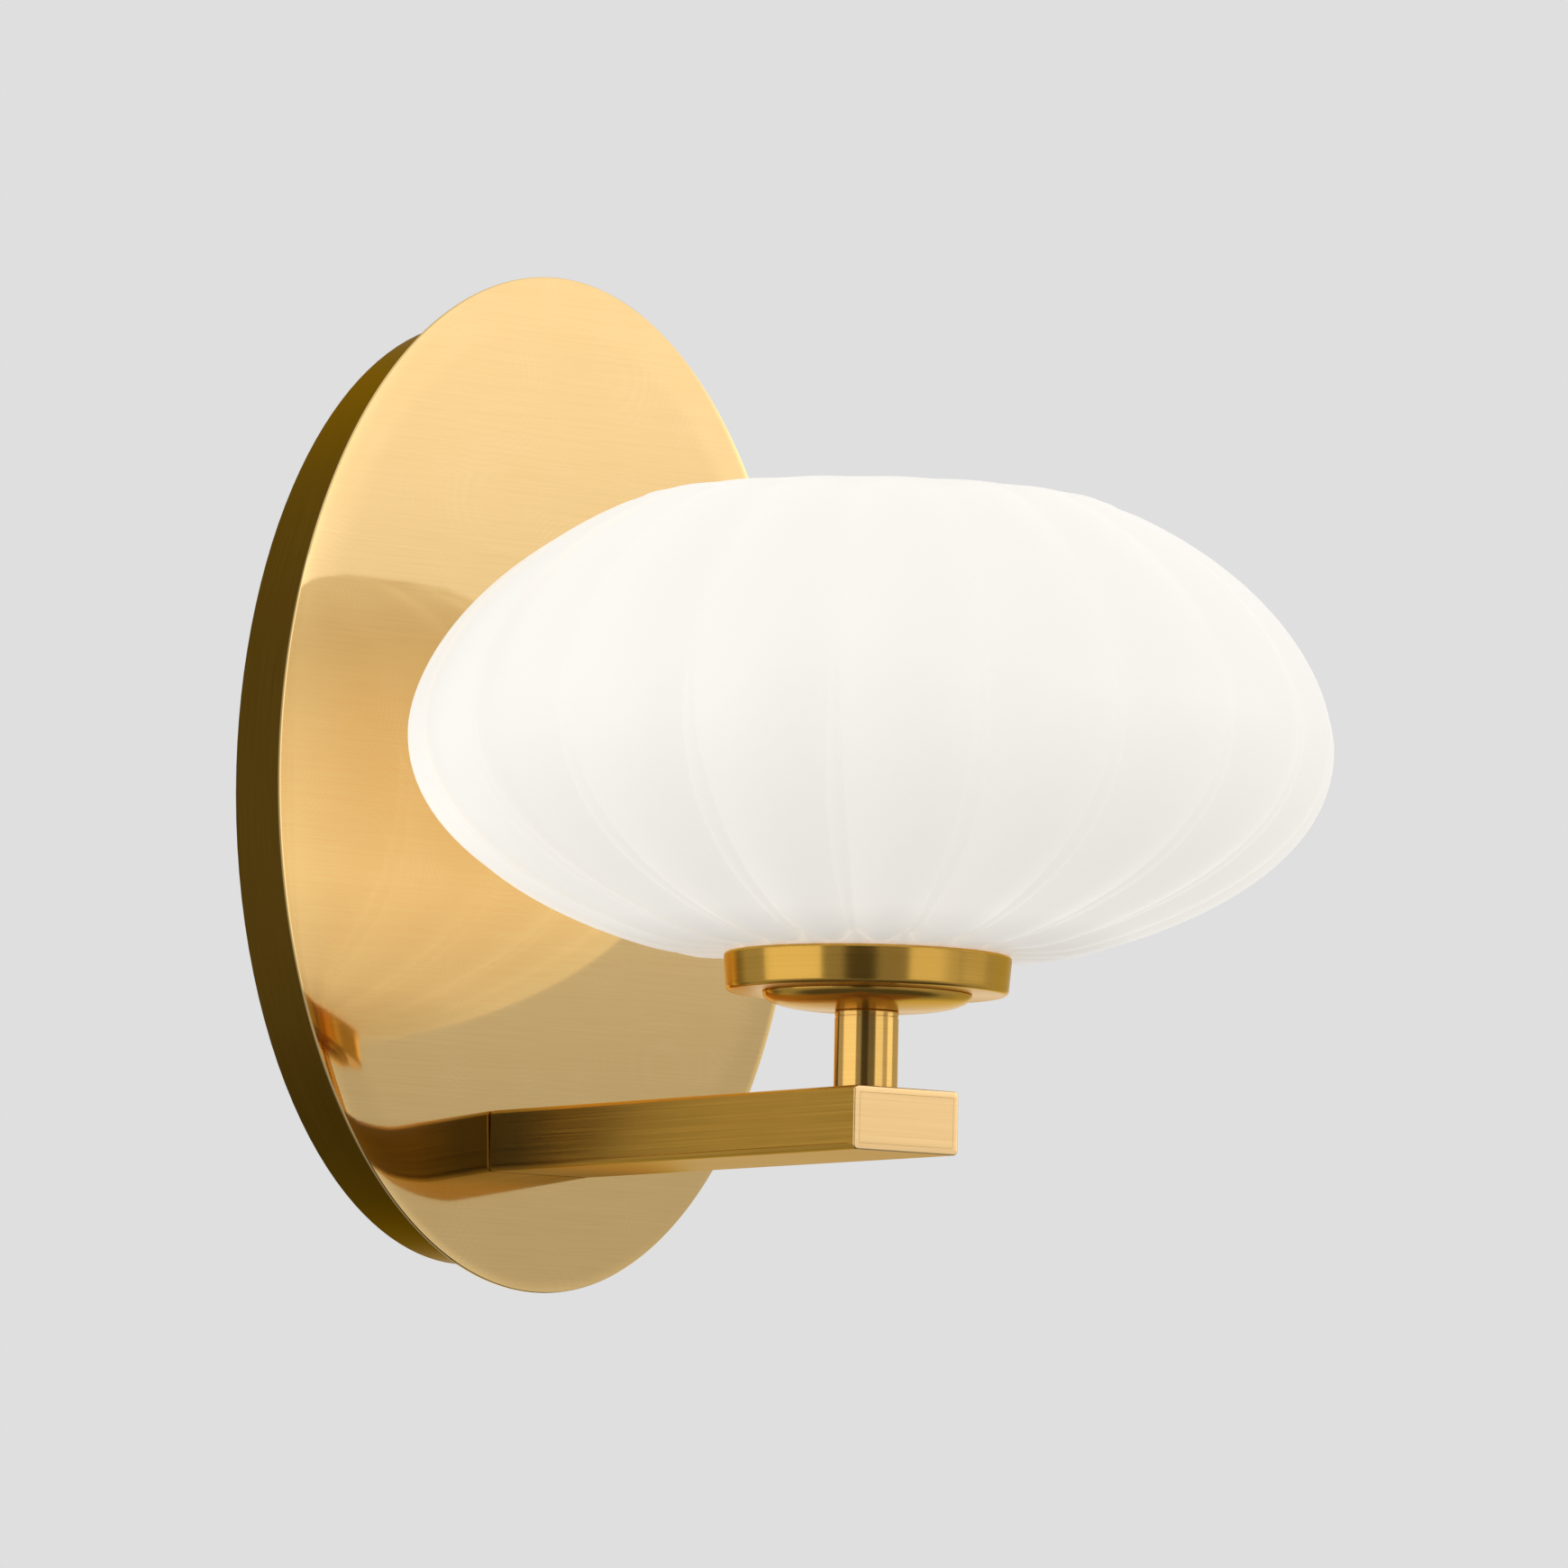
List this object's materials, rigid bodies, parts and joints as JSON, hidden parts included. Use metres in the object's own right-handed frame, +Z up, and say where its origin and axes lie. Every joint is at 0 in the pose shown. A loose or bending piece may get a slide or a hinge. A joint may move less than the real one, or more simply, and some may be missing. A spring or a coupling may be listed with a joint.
{
  "type": "wall lamp",
  "caption": "Wall lamp with an oval dished brass backplate, a flat arm, a short stem and a flattened fluted opal glass shade that opens upward.",
  "frame": {"origin": "middle of the backplate on the wall plane, at the centre of the two box slots", "axes": "+Z up, -Y out of the wall into the room, +X to the right seen from the room"},
  "size_m": [0.2034, 0.2562, 0.235],
  "materials": {
    "face_brass": "satin brushed, softly mirror-like",
    "edge_brass": "satin brushed",
    "arm_brass": "brushed along the arm",
    "turned_brass": "brushed round the axis",
    "raw_brass": "as machined",
    "zinc_steel": "zinc plated",
    "green_steel": "green dyed",
    "opal_glass": "satin etched opal",
    "silicone": "matt",
    "holder_plastic": "matt",
    "porcelain": "glazed",
    "contact_copper": "plated",
    "bulb_ceramic": "matt",
    "frosted_glass": "frosted",
    "black_sleeve": "satin",
    "white_sleeve": "satin",
    "bare_copper": "drawn",
    "nut_plastic": "matt",
    "black_nylon": "matt"
  },
  "bodies": {
    "fixture": {"mounting_bar": "zinc_steel", "ground_screw": "green_steel", "canopy_screws": "turned_brass", "canopy_pan": "edge_brass", "face_disc": "face_brass", "disc_nuts": "zinc_steel", "backing_plate": "zinc_steel", "arm_screws": "zinc_steel", "arm_washers": "zinc_steel", "wire_bushing": "black_nylon", "arm_tube": "arm_brass", "arm_rear_block": "raw_brass", "arm_end_plug": "arm_brass", "stem_tube": "turned_brass", "nipple": "zinc_steel", "nipple_nut": "raw_brass", "nipple_washer": "zinc_steel", "step_disc": "turned_brass", "glass_cup": "turned_brass", "seat_gasket": "silicone", "socket_shell": "holder_plastic", "socket_core": "porcelain", "socket_contacts": "contact_copper", "black_lead": "black_sleeve", "white_lead": "white_sleeve", "ground_lead": "bare_copper", "wire_nuts": "nut_plastic"},
    "shade": {"glass_shade": "opal_glass", "ring_gasket": "silicone", "shade_ring": "holder_plastic"},
    "bulb": {"bulb_base": "bulb_ceramic", "bulb_envelope": "frosted_glass"}
  },
  "joints": [
    {"name": "shade_lift", "type": "slide", "parent": "fixture", "child": "shade", "axis": [0, 0, 1], "range_m": [0, 0.08]},
    {"name": "bulb_pull", "type": "slide", "parent": "fixture", "child": "bulb", "axis": [0, 0, 1], "range_m": [0, 0.095]}
  ]
}
